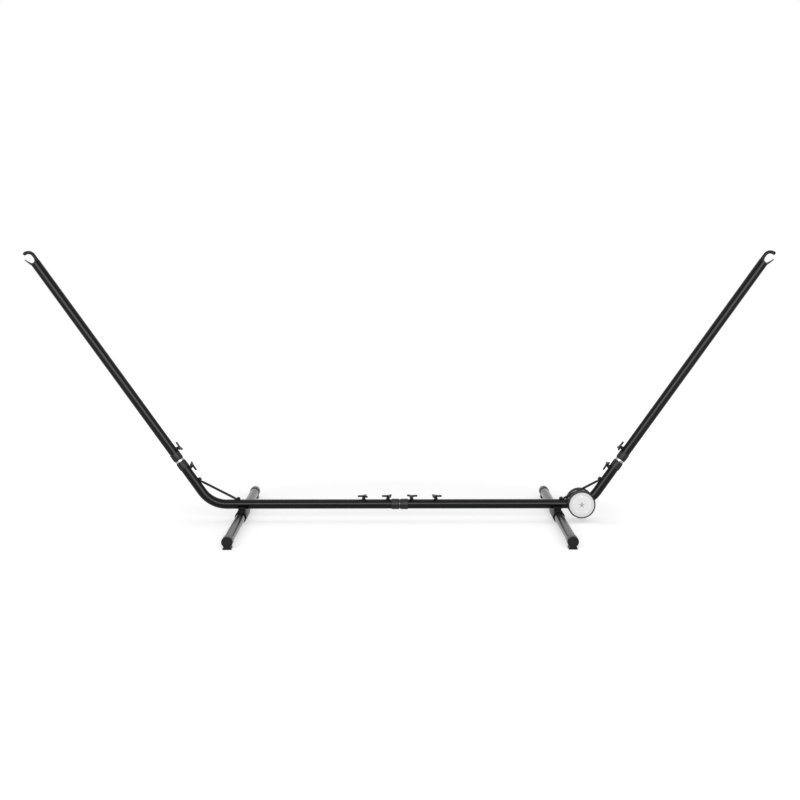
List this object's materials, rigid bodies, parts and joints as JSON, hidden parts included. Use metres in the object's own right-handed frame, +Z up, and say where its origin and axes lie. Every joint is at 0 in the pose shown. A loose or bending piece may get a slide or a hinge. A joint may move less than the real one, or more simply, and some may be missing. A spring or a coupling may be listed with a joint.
{
  "type": "hammock stand",
  "caption": "Portable steel-tube hammock stand: raised arms with open end hooks on a bent base of plug-in tubes, with clamp knobs, cross feet with flat pads, brace rods and transport wheels.",
  "frame": {"origin": "on the floor at the centre of the stand, under the middle joint of the beam", "axes": "+X along the stand towards the wheels, +Y to the rear, +Z up"},
  "size_m": [3.096, 1.1, 1.1307],
  "materials": {
    "black_powder_coat": "satin",
    "zinc_plated_steel": "bright zinc",
    "black_zinc_steel": "black zinc",
    "axle_steel": "drawn",
    "collar_plastic": "matte",
    "knob_plastic": "fine grain",
    "saddle_plastic": "matte",
    "cap_plastic": "matte",
    "tyre_rubber": "matte",
    "hub_plastic": "satin",
    "disc_plastic": "satin"
  },
  "bodies": {
    "left_base": {"left_base_tube": "black_powder_coat", "left_centre_collar": "collar_plastic", "left_stub_collar": "collar_plastic", "left_arm_connector": "zinc_plated_steel", "left_stop_ring": "zinc_plated_steel", "left_brace_rod": "black_powder_coat", "left_base_bolts": "black_zinc_steel", "left_knob_nuts": "black_powder_coat", "left_foot_tube": "black_powder_coat", "left_foot_saddle": "saddle_plastic", "left_front_foot_cap": "cap_plastic", "left_rear_foot_cap": "cap_plastic", "centre_connector": "zinc_plated_steel"},
    "left_arm": {"left_arm_tube": "black_powder_coat", "left_arm_collar": "collar_plastic", "left_end_plug": "black_powder_coat", "left_hook": "black_powder_coat", "left_arm_knob_nut": "black_powder_coat"},
    "right_base": {"right_base_tube": "black_powder_coat", "right_centre_collar": "collar_plastic", "right_stub_collar": "collar_plastic", "right_arm_connector": "zinc_plated_steel", "right_stop_ring": "zinc_plated_steel", "right_brace_rod": "black_powder_coat", "right_base_bolts": "black_zinc_steel", "right_knob_nuts": "black_powder_coat", "right_foot_tube": "black_powder_coat", "right_foot_saddle": "saddle_plastic", "right_front_foot_cap": "cap_plastic", "right_rear_foot_cap": "cap_plastic", "axle_sleeve": "axle_steel", "wheel_axle": "axle_steel", "axle_clips": "axle_steel"},
    "right_arm": {"right_arm_tube": "black_powder_coat", "right_arm_collar": "collar_plastic", "right_end_plug": "black_powder_coat", "right_hook": "black_powder_coat", "right_arm_knob_nut": "black_powder_coat"},
    "front_wheel": {"front_wheel_tyre": "tyre_rubber", "front_wheel_hub": "hub_plastic", "front_wheel_disc": "disc_plastic"},
    "rear_wheel": {"rear_wheel_tyre": "tyre_rubber", "rear_wheel_hub": "hub_plastic", "rear_wheel_disc": "disc_plastic"},
    "left_inner_knob_stud": {"left_inner_knob_stud": "black_zinc_steel"},
    "left_inner_knob_head": {"left_inner_knob_head": "knob_plastic"},
    "left_outer_knob_stud": {"left_outer_knob_stud": "black_zinc_steel"},
    "left_outer_knob_head": {"left_outer_knob_head": "knob_plastic"},
    "left_stub_knob_stud": {"left_stub_knob_stud": "black_zinc_steel"},
    "left_stub_knob_head": {"left_stub_knob_head": "knob_plastic"},
    "left_arm_knob_stud": {"left_arm_knob_stud": "black_zinc_steel"},
    "left_arm_knob_head": {"left_arm_knob_head": "knob_plastic"},
    "right_inner_knob_stud": {"right_inner_knob_stud": "black_zinc_steel"},
    "right_inner_knob_head": {"right_inner_knob_head": "knob_plastic"},
    "right_outer_knob_stud": {"right_outer_knob_stud": "black_zinc_steel"},
    "right_outer_knob_head": {"right_outer_knob_head": "knob_plastic"},
    "right_stub_knob_stud": {"right_stub_knob_stud": "black_zinc_steel"},
    "right_stub_knob_head": {"right_stub_knob_head": "knob_plastic"},
    "right_arm_knob_stud": {"right_arm_knob_stud": "black_zinc_steel"},
    "right_arm_knob_head": {"right_arm_knob_head": "knob_plastic"}
  },
  "joints": [
    {"name": "centre_slide", "type": "slide", "parent": "left_base", "child": "right_base", "axis": [1, 0, 0], "range_m": [0, 0.06]},
    {"name": "left_arm_slide", "type": "slide", "parent": "left_base", "child": "left_arm", "axis": [-0.5736, 0, 0.8192], "range_m": [0, 0.06]},
    {"name": "right_arm_slide", "type": "slide", "parent": "right_base", "child": "right_arm", "axis": [0.5736, 0, 0.8192], "range_m": [0, 0.06]},
    {"name": "front_wheel_spin", "type": "hinge", "parent": "right_base", "child": "front_wheel", "pos_m": [0.75828, 0, 0.07646], "axis": [0, 1, 0], "continuous": true},
    {"name": "rear_wheel_spin", "type": "hinge", "parent": "right_base", "child": "rear_wheel", "pos_m": [0.75828, 0, 0.07646], "axis": [0, 1, 0], "continuous": true},
    {"name": "left_inner_knob_travel", "type": "slide", "parent": "left_base", "child": "left_inner_knob_stud", "axis": [0, 0, 1], "range_m": [0, 0.00505]},
    {"name": "left_inner_knob_turn", "type": "hinge", "parent": "left_inner_knob_stud", "child": "left_inner_knob_head", "pos_m": [-0.0498, 0, 0.0727], "axis": [0, 0, 1], "range_deg": [0, 1440]},
    {"name": "left_outer_knob_travel", "type": "slide", "parent": "left_base", "child": "left_outer_knob_stud", "axis": [0, 0, 1], "range_m": [0, 0.00505]},
    {"name": "left_outer_knob_turn", "type": "hinge", "parent": "left_outer_knob_stud", "child": "left_outer_knob_head", "pos_m": [-0.1513, 0, 0.0727], "axis": [0, 0, 1], "range_deg": [0, 1440]},
    {"name": "left_stub_knob_travel", "type": "slide", "parent": "left_base", "child": "left_stub_knob_stud", "axis": [0.8192, 0, 0.5736], "range_m": [0, 0.00505]},
    {"name": "left_stub_knob_turn", "type": "hinge", "parent": "left_stub_knob_stud", "child": "left_stub_knob_head", "pos_m": [-0.8931, 0, 0.21851], "axis": [0.8192, 0, 0.5736], "range_deg": [0, 1440]},
    {"name": "left_arm_knob_travel", "type": "slide", "parent": "left_arm", "child": "left_arm_knob_stud", "axis": [0.8192, 0, 0.5736], "range_m": [0, 0.00505]},
    {"name": "left_arm_knob_turn", "type": "hinge", "parent": "left_arm_knob_stud", "child": "left_arm_knob_head", "pos_m": [-0.94759, 0, 0.29633], "axis": [0.8192, 0, 0.5736], "range_deg": [0, 1440]},
    {"name": "right_inner_knob_travel", "type": "slide", "parent": "right_base", "child": "right_inner_knob_stud", "axis": [0, 0, 1], "range_m": [0, 0.00505]},
    {"name": "right_inner_knob_turn", "type": "hinge", "parent": "right_inner_knob_stud", "child": "right_inner_knob_head", "pos_m": [0.0498, 0, 0.0727], "axis": [0, 0, 1], "range_deg": [0, 1440]},
    {"name": "right_outer_knob_travel", "type": "slide", "parent": "right_base", "child": "right_outer_knob_stud", "axis": [0, 0, 1], "range_m": [0, 0.00505]},
    {"name": "right_outer_knob_turn", "type": "hinge", "parent": "right_outer_knob_stud", "child": "right_outer_knob_head", "pos_m": [0.1513, 0, 0.0727], "axis": [0, 0, 1], "range_deg": [0, 1440]},
    {"name": "right_stub_knob_travel", "type": "slide", "parent": "right_base", "child": "right_stub_knob_stud", "axis": [-0.8192, 0, 0.5736], "range_m": [0, 0.00505]},
    {"name": "right_stub_knob_turn", "type": "hinge", "parent": "right_stub_knob_stud", "child": "right_stub_knob_head", "pos_m": [0.8931, 0, 0.21851], "axis": [-0.8192, 0, 0.5736], "range_deg": [0, 1440]},
    {"name": "right_arm_knob_travel", "type": "slide", "parent": "right_arm", "child": "right_arm_knob_stud", "axis": [-0.8192, 0, 0.5736], "range_m": [0, 0.00505]},
    {"name": "right_arm_knob_turn", "type": "hinge", "parent": "right_arm_knob_stud", "child": "right_arm_knob_head", "pos_m": [0.94759, 0, 0.29633], "axis": [-0.8192, 0, 0.5736], "range_deg": [0, 1440]}
  ],
  "couplings": [
    {"joint": "left_inner_knob_travel", "follows": "left_inner_knob_turn", "m_per_rad": 0.00019894},
    {"joint": "left_outer_knob_travel", "follows": "left_outer_knob_turn", "m_per_rad": 0.00019894},
    {"joint": "left_stub_knob_travel", "follows": "left_stub_knob_turn", "m_per_rad": 0.00019894},
    {"joint": "left_arm_knob_travel", "follows": "left_arm_knob_turn", "m_per_rad": 0.00019894},
    {"joint": "right_inner_knob_travel", "follows": "right_inner_knob_turn", "m_per_rad": 0.00019894},
    {"joint": "right_outer_knob_travel", "follows": "right_outer_knob_turn", "m_per_rad": 0.00019894},
    {"joint": "right_stub_knob_travel", "follows": "right_stub_knob_turn", "m_per_rad": 0.00019894},
    {"joint": "right_arm_knob_travel", "follows": "right_arm_knob_turn", "m_per_rad": 0.00019894}
  ]
}
